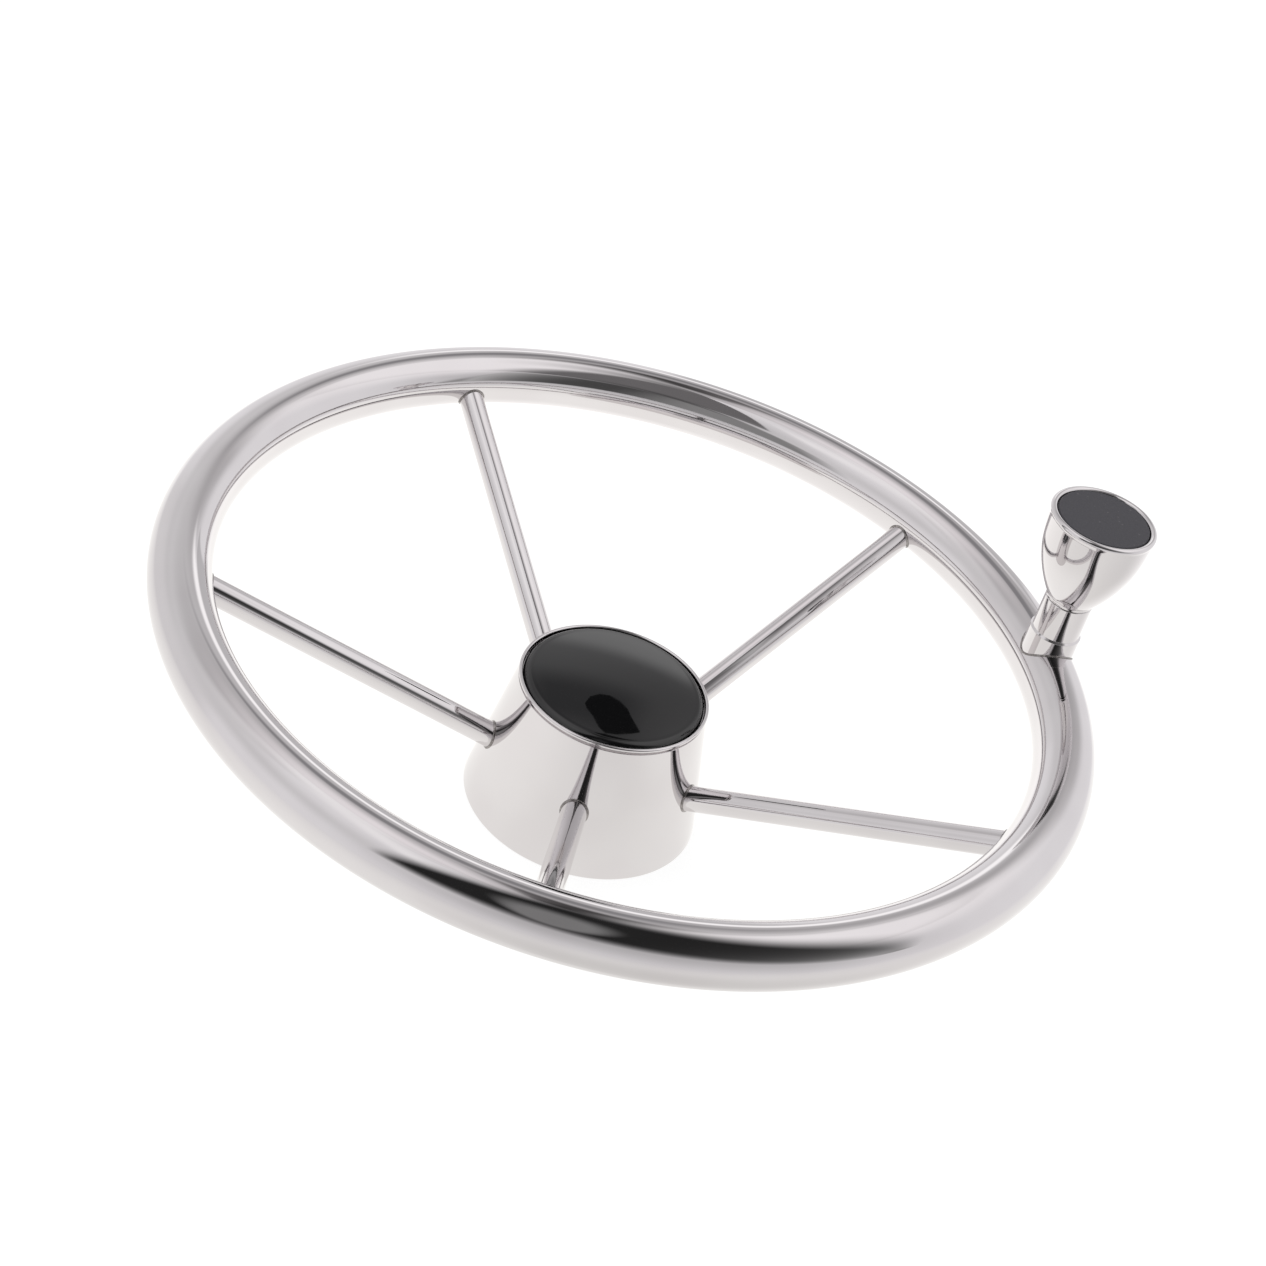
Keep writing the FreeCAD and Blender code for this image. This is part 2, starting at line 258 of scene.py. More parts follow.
def buildStudio(s):
    world = bpy.data.worlds.new("studio")
    scene.world = world
    world.use_nodes = True
    tree = world.node_tree
    tree.nodes.clear()
    x, y, z = axes(tree, addNode(tree, "ShaderNodeTexCoord").outputs["Generated"])
    azimuth = mathNode(tree, "DEGREES", mathNode(tree, "ARCTAN2", y, x))
    elevation = mathNode(tree, "DEGREES", mathNode(tree, "ARCSINE", z))
    zone = zoneGroup()
    colour = s["tent"]
    for name, (*edges, tone) in s["zones"].items():
        patch = placeGroup(tree, zone, dict(zip(zoneInputs, (azimuth, elevation, *edges))))
        patch.label = name
        colour = mixColours(tree, patch.outputs["Mask"], colour, tone)
    white = (1.0, 1.0, 1.0)
    mirrored = fromNode(tree, "ShaderNodeBackground", {"Color": colour})
    plain = fromNode(tree, "ShaderNodeBackground", {"Color": white, "Strength": s["plainLevel"]})
    seen = fromNode(tree, "ShaderNodeBackground", {"Color": white})
    sky, _ = byRay(tree, seen, mirrored, plain)
    addNode(tree, "ShaderNodeOutputWorld", {"Surface": sky})


buildStudio(studioSettings)


def rectangle(left, right, low, high):
    return [(left, low), (right, low), (right, high), (left, high)]


# One flat face of the stage
def addCard(name, corners, material):
    mesh = bpy.data.meshes.new(name)
    mesh.from_pydata(corners, [], [tuple(range(len(corners)))])
    mesh.materials.append(material)
    card = putIn(name, mesh)
    return card


# A card that only mirrored rays see
def mirroredOnly(name, corners, material):
    card = addCard(name, corners, material)
    for ray in ("visible_camera", "visible_diffuse", "visible_shadow", "visible_transmission"):
        setattr(card, ray, False)


floorSettings = {
    "half": 4.0,
    "sink": 0.05 * mm,
    "glow": 0.82,  # plain white, the rest comes from light and keeps the shadow
    "paint": 0.26,
    "bounce": 0.8,  # what it gives back to matt surfaces
    "nearLevel": 0.30,  # as the steel mirrors it, towards the camera
    "middleLevel": 1.12,
    "farLevel": 1.72,
    "nearRun": (-1.1, -0.05),  # along Y, where the levels pass into each other
    "farRun": (0.0, 0.55),
    "mirroredTone": (1.0, 0.99, 0.965),
    "shadePatch": -0.14,  # painted shade: a dimmer patch of the mirrored glow in front of the hub
    "shadePatchPlace": (0.045, -0.13, 0.0),
    "shadePatchRun": (0.03, 0.20),
    "fadeRun": (0.049, 0.70),  # over this the mirrored floor melts into the tent
}


def floorMaterial(s):
    material, tree = bareMaterial("paleFloor")
    place = objectPlace(tree)
    x, y, z = axes(tree, place)
    # painted light: the glow that the steel mirrors runs from dim near the camera to bright far off
    middle = s["middleLevel"]
    near = ramp(tree, y, *s["nearRun"], s["nearLevel"], middle)
    far = ramp(tree, y, *s["farRun"], middle, s["farLevel"])
    level = mathNode(tree, "ADD", near, mathNode(tree, "SUBTRACT", far, middle))
    # painted shade: the mirrored glow dims in a patch in front of the hub
    fromShadePatch = vectorNode(tree, "DISTANCE", place, s["shadePatchPlace"])["Value"]
    shadePatch = ramp(tree, fromShadePatch, *s["shadePatchRun"], s["shadePatch"], 0.0)
    level = mathNode(tree, "ADD", level, shadePatch)
    paint = paintShader(tree, (s["paint"],) * 3)
    bounce = paintShader(tree, (s["bounce"],) * 3)
    seen = fromNode(tree, "ShaderNodeAddShader", {0: glowShader(tree, s["glow"]), 1: paint})
    mirrored = glowShader(tree, level, s["mirroredTone"])
    fade = ramp(tree, vectorNode(tree, "LENGTH", place)["Value"], *s["fadeRun"])
    melting = mixShaders(tree, fade, mirrored, clearShader(tree))
    shader, cameraRays = byRay(tree, seen, melting, bounce)
    # from below the camera looks through it
    fromBelow = product(tree, backSide(tree), cameraRays)
    surface(tree, mixShaders(tree, fromBelow, shader, clearShader(tree)))
    return material


def makeFloor(s):
    half = s["half"]
    corners = [(x, y, 0) for x, y in rectangle(-half, half, -half, half)]
    floor = addCard("floor", corners, floorMaterial(s))
    floor.location.z = -s["sink"]


makeFloor(floorSettings)

# The dark opening of the tent over the near side, through which the photo was taken
openingSettings = {
    "height": 0.341,
    "left": (0.087, 0.797),  # edge at x = first + second * y
    "right": (-0.069, -0.198),  # edge at y = first + second * x
    "leftSoft": 0.040, "rightSoft": 0.078,
    "nearEdge": -0.623, "nearSoft": 0.196,
    "dark": 0.023, "paler": 0.376,  # level at the left and at the right
    "levelRun": (0.1, 1.2),  # along X, from the one to the other
    "figure": (0.016, -0.354), "figureHalf": (0.071, 0.157), "figureLevel": 0.249,
    "figureRun": (0.6, 1.2),  # its soft edge, in shares of its half sizes
    "reach": (1.8, -1.4, 0.4),
}


def openingMaterial(s):
    material, tree = bareMaterial("tentOpening")
    x, y, z = axes(tree, objectPlace(tree))
    (leftStart, leftSlope), (rightStart, rightSlope) = s["left"], s["right"]
    fromLeft = mathNode(tree, "SUBTRACT", x, mathNode(tree, "MULTIPLY_ADD", y, leftSlope, leftStart))
    fromRight = mathNode(tree, "SUBTRACT", mathNode(tree, "MULTIPLY_ADD", x, rightSlope, rightStart), y)
    near, soft = s["nearEdge"], s["nearSoft"]
    mask = product(
        tree,
        ramp(tree, fromLeft, -s["leftSoft"], s["leftSoft"]),
        ramp(tree, fromRight, -s["rightSoft"], s["rightSoft"]),
        ramp(tree, y, near - soft, near + soft),
    )
    level = ramp(tree, x, *s["levelRun"], s["dark"], s["paler"])
    parts = [
        mathNode(tree, "DIVIDE", mathNode(tree, "SUBTRACT", axis, middle), half)
        for axis, middle, half in zip((x, y), s["figure"], s["figureHalf"])
    ]
    level = ramp(tree, hypotNode(tree, *parts), *s["figureRun"], s["figureLevel"], level)
    surface(tree, mixShaders(tree, mask, clearShader(tree), glowShader(tree, level)))
    return material


def addOpening(s):
    half, low, high = s["reach"]
    corners = [(x, y, s["height"]) for x, y in rectangle(-half, half, low, high)]
    mirroredOnly("tentOpening", corners, openingMaterial(s))


addOpening(openingSettings)

# Painted reflections, seen only by mirrored rays: a small dark card close over the hub, which the cap
# mirrors, and a glowing grey one that the far rim mirrors
flagSettings = {
    "plane": 0.030,  # upright, at this y
    "reflectionDark": (0.004, 0.004, 0.004),
    "grey": {
        "plane": 0.034, "across": (-0.036, 0.105), "foot": 0.1052, "top": 0.1862, "topSlope": 0.8,
        "soft": 0.011, "level": 0.29, "dipRun": (0.0, 0.017), "dipLevel": 0.08,
        "sideRun": (0.024, 0.095), "sideLevel": 0.55,
    },
    "outline": [
        (-0.0123, 0.1066), (-0.0103, 0.0990), (-0.0057, 0.0944), (-0.0008, 0.0932), (0.0048, 0.0953),
        (0.0097, 0.0995), (0.0137, 0.1064), (0.0182, 0.1127), (0.0215, 0.1173), (0.0177, 0.1226),
        (0.0100, 0.1305), (0.0031, 0.1340), (-0.0020, 0.1284), (-0.0063, 0.1184), (-0.0109, 0.1113),
    ],  # corners, x and z
}


# Shows the shader on one side of a card, where the mask allows it
def oneSided(tree, shader, seenFrom, mask=1.0):
    behind = backSide(tree)
    side = behind if seenFrom == "back" else mathNode(tree, "SUBTRACT", 1.0, behind)
    shown = product(tree, side, mask)
    surface(tree, mixShaders(tree, shown, clearShader(tree), shader))


# painted reflection: the dark card whose shape the cap mirrors as a dark patch
def reflectionDarkMaterial(colour):
    material, tree = bareMaterial("darkReflectionCard")
    oneSided(tree, paintShader(tree, colour), "front")
    return material


# painted reflection: a glowing grey band for the far rim, dimmer in a dip and paler towards one side
def greyMaterial(s):
    material, tree = bareMaterial("greyReflectionGlow")
    x, y, z = axes(tree, objectPlace(tree))
    soft, foot = s["soft"], s["foot"]
    left, right = s["across"]
    top = mathNode(tree, "MULTIPLY_ADD", x, s["topSlope"], s["top"])
    mask = product(
        tree,
        ramp(tree, x, left, left + 2 * soft),
        ramp(tree, x, right - 2 * soft, right, 1.0, 0.0),
        ramp(tree, z, foot, foot + soft),
        ramp(tree, mathNode(tree, "SUBTRACT", z, top), -soft, soft, 1.0, 0.0),
    )
    level = ramp(tree, x, *s["dipRun"], s["level"], s["dipLevel"])
    level = ramp(tree, x, *s["sideRun"], level, s["sideLevel"])
    oneSided(tree, glowShader(tree, level), "back", mask)
    return material


def addFlag(s):
    outline = [(x, s["plane"], z) for x, z in s["outline"]]
    mirroredOnly("darkFlag", outline, reflectionDarkMaterial(s["reflectionDark"]))
    grey = s["grey"]
    left, right = grey["across"]
    high = grey["top"] + grey["topSlope"] * right + grey["soft"]
    corners = [(x, grey["plane"], z) for x, z in rectangle(left, right, grey["foot"], high)]
    mirroredOnly("greyReflectionGlow", corners, greyMaterial(grey))


addFlag(flagSettings)

lampSettings = {"place": (-0.5, 0.5, 1.5), "size": 1.2, "power": 5.0}


def addLamp(name, s):
    data = bpy.data.lights.new(name, "AREA")
    data.size = s["size"]
    data.energy = s["power"]
    lamp = putIn(name, data)
    lamp.location = s["place"]
    lamp.rotation_euler = (-Vector(s["place"])).to_track_quat("-Z", "Y").to_euler()
    lamp.visible_glossy = False


addLamp("softTop", lampSettings)
print("stage: studio, floor and lamp")

grainSettings = {
    "middle": (0.3, 0.7),  # over this a noise passes from one tone to the other
    "cloudEdge": (0.35, 0.72),
    "speck": (0.05, 0.16),
    "waveHeight": 0.35, "fullTurn": 6.28,
    "waver": 0.8,
    "dustColour": (0.35, 0.34, 0.33),
    "rippleDepth": 0.0004, "scratchDepth": 0.00002, "fineDepth": 0.00003,  # of the bumps, in metres
}


def noiseOver(tree, given, scale, **values):
    inputs = {"Vector": given["Vector"], "Scale": given[scale], **values}
    return fromNode(tree, "ShaderNodeTexNoise", inputs)


# Roughness that drifts in soft clouds, the faint ripple of hand polishing and its scratches
def handlingGroup():
    group, given = startGroup("handPolish", {
        "Vector": "Vector", "Base": 0.05, "Drift": 0.03,
        "Cloud Scale": 18.0, "Ripple Scale": 60.0, "Scratch Scale": 900.0,
    })
    clouds = noiseOver(group, given, "Cloud Scale", Detail=4.0, Roughness=0.6)
    drift = ramp(group, clouds, *grainSettings["cloudEdge"])
    return endGroup(group, {
        "Roughness": mathNode(group, "MULTIPLY_ADD", drift, given["Drift"], given["Base"]),
        "Ripple": noiseOver(group, given, "Ripple Scale", Detail=1.0, Roughness=0.4),
        "Scratches": noiseOver(group, given, "Scratch Scale", Detail=3.0, Roughness=0.7, Distortion=0.4),
    })


# Fine rings left by the lathe round the upright axis
def turningGroup():
    group, given = startGroup("latheRings", {"Vector": "Vector", "Rings": 900.0, "Waver": 0.3})
    x, y, z = axes(group, given["Vector"])
    along = mathNode(group, "ADD", hypotNode(group, x, y), z)
    inputs = {"W": product(group, along, given["Rings"]), "Scale": 1.0, "Detail": 2.0}
    noise = fromNode(group, "ShaderNodeTexNoise", inputs, noise_dimensions="1D")
    turn = product(group, along, product(group, given["Rings"], grainSettings["fullTurn"]))
    wave = product(group, mathNode(group, "SINE", turn), grainSettings["waveHeight"])
    height = mathNode(group, "MULTIPLY_ADD", noise, given["Waver"], wave)
    return endGroup(group, {"Height": height, "Mask": noise})


# Settled dust and fine moulded grain for the black pieces
def speckGroup():
    group, given = startGroup("dustAndGrain", {
        "Vector": "Vector", "Grain Scale": 2600.0, "Dust Scale": 420.0, "Dust": 0.3,
    })
    inputs = {"Vector": given["Vector"], "Scale": given["Dust Scale"]}
    specks = addNode(group, "ShaderNodeTexVoronoi", inputs, feature="F1").outputs["Distance"]
    dot = ramp(group, specks, *grainSettings["speck"], 1.0, 0.0)
    return endGroup(group, {
        "Grain": noiseOver(group, given, "Grain Scale", Detail=2.0, Roughness=0.55),
        "Dust": product(group, dot, given["Dust"]),
    })


handPolish, latheRings, dustAndGrain = handlingGroup(), turningGroup(), speckGroup()


def startMaterial(name, metallic, ior=1.5):
    material = bpy.data.materials.new(name)
    material.use_nodes = True
    tree = material.node_tree
    shader = tree.nodes["Principled BSDF"]
    feed(tree, shader, {"Metallic": metallic, "IOR": ior})
    return material, tree, shader, objectPlace(tree)


def bumpFrom(tree, height, strength, depth, **under):
    inputs = {"Strength": strength, "Distance": grainSettings[depth], "Height": height, **under}
    return fromNode(tree, "ShaderNodeBump", inputs)


def steelMaterial(name, s):
    material, tree, shader, place = startMaterial(name, 1.0)
    polish = placeGroup(tree, handPolish, {
        "Vector": place, "Base": s["roughness"], "Drift": s["drift"],
        "Cloud Scale": s["cloudScale"], "Ripple Scale": s["rippleScale"],
    }).outputs
    tone = ramp(tree, polish["Ripple"], *grainSettings["middle"])
    ripple = bumpFrom(tree, polish["Ripple"], s["ripple"], "rippleDepth")
    feed(tree, shader, {
        "Base Color": mixColours(tree, tone, s["colour"], s["colourTwo"]),
        "Roughness": polish["Roughness"],
        "Normal": bumpFrom(tree, polish["Scratches"], s["scratch"], "scratchDepth", Normal=ripple),
    })
    return material


polishedSteel = steelMaterial("polishedSteel", {
    "colour": (0.680, 0.655, 0.662), "colourTwo": (0.700, 0.678, 0.684),
    "roughness": 0.022, "drift": 0.03, "cloudScale": 22.0, "rippleScale": 45.0,
    "ripple": 0.05, "scratch": 0.05,
})
weldSteel = steelMaterial("weldSteel", {
    "colour": (0.20, 0.185, 0.18), "colourTwo": (0.36, 0.34, 0.33),
    "roughness": 0.20, "drift": 0.12, "cloudScale": 160.0, "rippleScale": 700.0,
    "ripple": 0.5, "scratch": 0.15,
})


def machinedMaterial(name, s):
    material, tree, shader, place = startMaterial(name, 1.0)
    inputs = {"Vector": place, "Rings": s["rings"], "Waver": grainSettings["waver"]}
    rings = placeGroup(tree, latheRings, inputs).outputs
    feed(tree, shader, {
        "Base Color": mixColours(tree, rings["Mask"], s["colour"], s["colourTwo"]),
        "Roughness": ramp(tree, rings["Mask"], *grainSettings["middle"], *s["roughness"]),
        "Normal": bumpFrom(tree, rings["Height"], s["bump"], "fineDepth"),
    })
    return material


machinedSteel = machinedMaterial("machinedSteel", {
    "colour": (0.50, 0.485, 0.48), "colourTwo": (0.60, 0.585, 0.58), "rings": 2600.0,
    "roughness": (0.22, 0.34), "bump": 0.5,
})
castAlloy = machinedMaterial("castAlloy", {
    "colour": (0.40, 0.40, 0.41), "colourTwo": (0.52, 0.52, 0.53), "rings": 700.0,
    "roughness": (0.42, 0.6), "bump": 0.8,
})


def blackMaterial(name, s):
    material, tree, shader, place = startMaterial(name, 0.0, s["ior"])
    specks = placeGroup(tree, dustAndGrain, {
        "Vector": place, "Grain Scale": s["grainScale"],
        "Dust Scale": s["dustScale"], "Dust": s["dust"],
    }).outputs
    grain, rough = specks["Grain"], s["roughness"]
    dusty = mixColours(tree, specks["Dust"], s["colour"], grainSettings["dustColour"])
    feed(tree, shader, {
        "Base Color": mixColours(tree, grain, dusty, s["colourTwo"]),
        "Roughness": ramp(tree, grain, *grainSettings["middle"], rough, rough + s["drift"]),
        "Normal": bumpFrom(tree, grain, s["bump"], "fineDepth"),
    })
    return material


glossBlack = blackMaterial("glossBlack", {
    "colour": (0.0045, 0.0045, 0.0048), "colourTwo": (0.005, 0.005, 0.0055), "ior": 1.56,
    "roughness": 0.03, "drift": 0.03, "grainScale": 300.0, "dustScale": 240.0, "dust": 0.0, "bump": 0.01,
})
mattBlack = blackMaterial("mattBlack", {
    "colour": (0.027, 0.0255, 0.0325), "colourTwo": (0.045, 0.043, 0.052), "ior": 1.5,
    "roughness": 0.45, "drift": 0.16, "grainScale": 2400.0, "dustScale": 300.0, "dust": 0.25, "bump": 0.6,
})
sealRubber = blackMaterial("sealRubber", {
    "colour": (0.018, 0.018, 0.018), "colourTwo": (0.03, 0.03, 0.03), "ior": 1.5,
    "roughness": 0.55, "drift": 0.2, "grainScale": 1500.0, "dustScale": 300.0, "dust": 0.2, "bump": 0.5,
})
bushPlastic = blackMaterial("bushPlastic", {
    "colour": (0.62, 0.60, 0.55), "colourTwo": (0.70, 0.68, 0.62), "ior": 1.49,
    "roughness": 0.35, "drift": 0.15, "grainScale": 900.0, "dustScale": 300.0, "dust": 0.05, "bump": 0.3,
})
print("stage: finishes built")

meshSettings = {
    "merge": 1e-8, "mergeMade": 1e-7,  # metres, for own meshes and for those of a node tree
    "thin": 1e-9,  # metres, shorter edges go
    "pole": 1e-6,  # a smaller ring is one point
    "sharp": 32,  # degrees, from here on an edge is shaded sharp
    "corner": 24,  # degrees, from here on an outline's corner is rounded
    "cutShare": 0.4,  # most of a side that a corner may take
    "guard": 0.8, "guardRoom": 4,  # place of the extra point and the side that it needs, in cuts
}


def linkMesh(name, mesh, material):
    mesh.materials.clear()
    mesh.materials.append(material)
    mesh.shade_smooth()
    return putIn(name, mesh)


def finishPiece(piece, body, slot, *replaced):
    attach(piece, body)
    if replaced:
        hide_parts(*replaced)


def merge(mesh, within, pointOut=False):
    work = bmesh.new()
    work.from_mesh(mesh)
    bmesh.ops.remove_doubles(work, verts=work.verts, dist=within)
    if pointOut:
        bmesh.ops.recalc_face_normals(work, faces=work.faces)
    work.to_mesh(mesh)
    work.free()


# The points are in millimetres, here and in all outlines and loops
def meshFrom(name, points, faces, edges=()):
    mesh = bpy.data.meshes.new(name)
    mesh.from_pydata([[c * mm for c in point] for point in points], edges, faces)
    if faces:
        merge(mesh, meshSettings["merge"], pointOut=True)
    return mesh


def turns(count):
    return [2 * pi * k / count for k in range(count)]


def aside(place, turn, reach):
    return place[0] + reach * cos(turn), place[1] + reach * sin(turn)


def arcSteps(radius, height, reach, fromDegrees, toDegrees, count):
    steps = []
    for i in range(count + 1):
        turn = radians(fromDegrees + (toDegrees - fromDegrees) * i / count)
        steps.append(aside((radius, height), turn, reach))
    return steps


# Rounds each sharp corner of an outline and puts a point close to each side of it,
# so that the light falls off quickly there and the flats stay flat
def softened(outline, reach, steps=4, closed=True):
    result = []
    count = len(outline)
    share, guard, room = (meshSettings[key] for key in ("cutShare", "guard", "guardRoom"))
    for i, here in enumerate(outline):
        if not closed and i in (0, count - 1):
            result.append(here)
            continue
        before, after = outline[i - 1], outline[(i + 1) % count]
        toBefore = Vector((before[0] - here[0], before[1] - here[1]))
        toAfter = Vector((after[0] - here[0], after[1] - here[1]))
        turn = pi - toBefore.angle(toAfter)
        if turn < radians(meshSettings["corner"]):
            result.append(here)
            continue
        cut = min(reach * tan(turn / 2), share * toBefore.length, share * toAfter.length)
        corner = Vector(here)
        start = corner + toBefore.normalized() * cut
        end = corner + toAfter.normalized() * cut
        if toBefore.length > room * cut:
            result.append(tuple(start + toBefore.normalized() * cut * guard))
        for k in range(steps + 1):
            way = k / steps
            result.append(tuple(start.lerp(corner, way).lerp(corner.lerp(end, way), way)))
        if toAfter.length > room * cut:
            result.append(tuple(end + toAfter.normalized() * cut * guard))
    return result


# Faces between neighbouring rings of points. A ring that is a single point makes triangles.
def ringFaces(rings, closed):
    faces = []
    for i in range(len(rings) if closed else len(rings) - 1):
        low, high = rings[i], rings[(i + 1) % len(rings)]
        for k in range(len(low)):
            after = (k + 1) % len(low)
            faces.append(list(dict.fromkeys([low[k], low[after], high[after], high[k]])))
    return [face for face in faces if len(face) > 2]


# A mesh from loops with as many points each
def loopMesh(name, loops, closed=False):
    around = len(loops[0])
    rings = [range(row * around, (row + 1) * around) for row in range(len(loops))]
    return meshFrom(name, [point for loop in loops for point in loop], ringFaces(rings, closed))


# Turns an outline of radius and height about an upright line
def turnedMesh(name, outline, segments, place=(0, 0), closed=True):
    points, rings = [], []
    for radius, height in outline:
        if radius < meshSettings["pole"]:
            rings.append([len(points)] * segments)
            points.append((*place, height))
        else:
            rings.append(range(len(points), len(points) + segments))
            points += [(*aside(place, t, radius), height) for t in turns(segments)]
    return meshFrom(name, points, ringFaces(rings, closed))


def markSharp(mesh, limit=meshSettings["sharp"]):
    work = bmesh.new()
    work.from_mesh(mesh)
    for edge in work.edges:
        if len(edge.link_faces) == 2 and degrees(edge.calc_face_angle(0)) > limit:
            edge.smooth = False
    bmesh.ops.dissolve_degenerate(work, dist=meshSettings["thin"], edges=work.edges)
    work.to_mesh(mesh)
    work.free()


def sharpPiece(name, mesh, material):
    piece = linkMesh(name, mesh, material)
    markSharp(piece.data)
    return piece


# Every tree of geometry takes a mesh and a material beside its own inputs
def startTree(name, inputs):
    inputs = {"Geometry": "Geometry", **inputs, "Material": "Material"}
    return startGroup(name, inputs, "GeometryNodeTree")


def endTree(tree, geometry, material):
    real = fromNode(tree, "GeometryNodeRealizeInstances", {"Geometry": geometry})
    smooth = fromNode(tree, "GeometryNodeSetShadeSmooth", {"Geometry": real})
    coat = fromNode(tree, "GeometryNodeSetMaterial", {"Geometry": smooth, "Material": material})
    return endGroup(tree, {"Geometry": coat}, "Geometry")


def runTree(piece, tree, values, material):
    modifier = piece.modifiers.new(tree.name, "NODES")
    modifier.node_group = tree
    names = {
        item.name: item.identifier
        for item in tree.interface.items_tree
        if item.item_type == "SOCKET" and item.in_out == "INPUT"
    }
    for label, value in {**values, "Material": material}.items():
        modifier[names[label]] = value
    graph = bpy.context.evaluated_depsgraph_get()
    graph.update()
    done = piece.evaluated_get(graph)
    made = bpy.data.meshes.new_from_object(done, preserve_all_data_layers=True, depsgraph=graph)
    piece.modifiers.clear()
    piece.data = made
    merge(made, meshSettings["mergeMade"])
    return piece


def circle(tree, radius, steps):
    return fromNode(tree, "GeometryNodeCurvePrimitiveCircle", {"Resolution": steps, "Radius": radius})


def sweep(tree, path, section):
    return fromNode(tree, "GeometryNodeCurveToMesh", {"Curve": path, "Profile Curve": section})


# The rim is one tube bent to a ring
rimSettings = {"ringRadius": 160.4, "tubeRadius": 11.1, "height": 80.6, "aroundRing": 400, "aroundTube": 80}


def rimTree(sizes):
    tree, given = startTree("bentTube", sizes)
    path = circle(tree, given["Ring Radius"], given["Ring Steps"])
    section = circle(tree, given["Tube Radius"], given["Tube Steps"])
    lift = fromNode(tree, "ShaderNodeCombineXYZ", {"Z": given["Height"]})
    inputs = {"Geometry": sweep(tree, path, section), "Translation": lift}
    return endTree(tree, fromNode(tree, "GeometryNodeTransform", inputs), given["Material"])


rimSizes = {
    "Ring Radius": rimSettings["ringRadius"] * mm,
    "Tube Radius": rimSettings["tubeRadius"] * mm,
    "Height": rimSettings["height"] * mm,
    "Ring Steps": rimSettings["aroundRing"],
    "Tube Steps": rimSettings["aroundTube"],
}
rimTube = putIn("rimTube", bpy.data.meshes.new("rimTube"))
runTree(rimTube, rimTree(rimSizes), rimSizes, polishedSteel)
finishPiece(rimTube, "wheel", "polished_steel", "rim_tube")
print("stage: rim,", len(rimTube.data.polygons), "faces")

# The spokes are one rod, coped at both ends and set out five times
spokeSettings = {
    "count": 5, "firstAngle": 270.0, "radius": 4.75, "rootRadius": 19.0, "rootHeight": 16.0,
    "aroundRod": 56, "rows": 26, "endShares": (0.0, 0.35, 0.7, 0.92), "sharp": 50,
    "search": 48,  # halvings, to find where the rod meets a surface
    "rimAway": 12, "bossFrom": (12, -8), "coneFrom": (60, 0),  # where the searches begin
    "weldBead": 0.5, "weldSteps": 90, "weldPoints": 120, "weldOff": 0.05,
}
rodRun = rimSettings["ringRadius"] - spokeSettings["rootRadius"]
rodRise = rimSettings["height"] - spokeSettings["rootHeight"]
rodLength = hypot(rodRun, rodRise)
rodCos, rodSin = rodRun / rodLength, rodRise / rodLength


# A point of the rod that points along +X, from the way along it, the turn round it and the reach
def rodPoint(along, turn, reach):
    upwards = reach * cos(turn)
    return (
        spokeSettings["rootRadius"] + along * rodCos - upwards * rodSin,
        reach * sin(turn),
        spokeSettings["rootHeight"] + along * rodSin + upwards * rodCos,
    )


def outsideRim(x, y, z):
    ringAway = hypot(x, y) - rimSettings["ringRadius"]
    return hypot(ringAway, z - rimSettings["height"]) - rimSettings["tubeRadius"]


def outsideBoss(x, y, z):
    return hypot(x, y) - spokeSettings["rootRadius"]


# A surface, with a place along the rod outside it and one inside
rimFace = (outsideRim, rodLength - rimSettings["tubeRadius"] - spokeSettings["rimAway"], rodLength)
bossFace = (outsideBoss, *spokeSettings["bossFrom"])


# The way along the rod at which its side meets a surface, all round
def metLoop(face, reach, count):
    outside, farOut, farIn = face
    loop = []
    for turn in turns(count):
        outer, inner = farOut, farIn
        for _ in range(spokeSettings["search"]):
            middle = (outer + inner) / 2
            if outside(*rodPoint(middle, turn, reach)) > 0:
                outer = middle
            else:
                inner = middle
        loop.append(((outer + inner) / 2, turn, reach))
    return loop


def rodMesh():
    s = spokeSettings
    around, rows, reach = s["aroundRod"], s["rows"], s["radius"]
    root, tip = metLoop(bossFace, reach, around), metLoop(rimFace, reach, around)
    loops = [metLoop(bossFace, reach * share, around) for share in s["endShares"]]
    for row in range(rows + 1):
        share = row / rows
        loops.append([(a + (b - a) * share, turn, reach) for (a, turn, _), (b, _, _) in zip(root, tip)])
    loops += [metLoop(rimFace, reach * share, around) for share in reversed(s["endShares"])]
    mesh = loopMesh("spokes", [[rodPoint(*step) for step in loop] for loop in loops])
    markSharp(mesh, s["sharp"])
    return mesh


def copiesTree(sizes):
    tree, given = startTree("ringOfCopies", sizes)
    inputs = {"Count": given["Count"], "Offset": (0, 0, 0)}
    spots = fromNode(tree, "GeometryNodeMeshLine", inputs, mode="OFFSET")
    index = fromNode(tree, "GeometryNodeInputIndex")
    pitch = mathNode(tree, "DIVIDE", 2 * pi, given["Count"])
    angle = mathNode(tree, "MULTIPLY_ADD", index, pitch, given["First Angle"])
    turn = fromNode(tree, "ShaderNodeCombineXYZ", {"Z": angle})
    inputs = {"Points": spots, "Instance": given["Geometry"], "Rotation": turn}
    return endTree(tree, fromNode(tree, "GeometryNodeInstanceOnPoints", inputs), given["Material"])


copySizes = {"Count": spokeSettings["count"], "First Angle": radians(spokeSettings["firstAngle"])}
ringOfCopies = copiesTree(copySizes)


def setOut(piece, material):
    return runTree(piece, ringOfCopies, copySizes, material)


spokes = setOut(linkMesh("spokes", rodMesh(), polishedSteel), polishedSteel)
finishPiece(spokes, "wheel", "polished_steel", *[f"spoke_{i + 1}" for i in range(spokeSettings["count"])])
print("stage: spokes,", len(spokes.data.polygons), "faces")

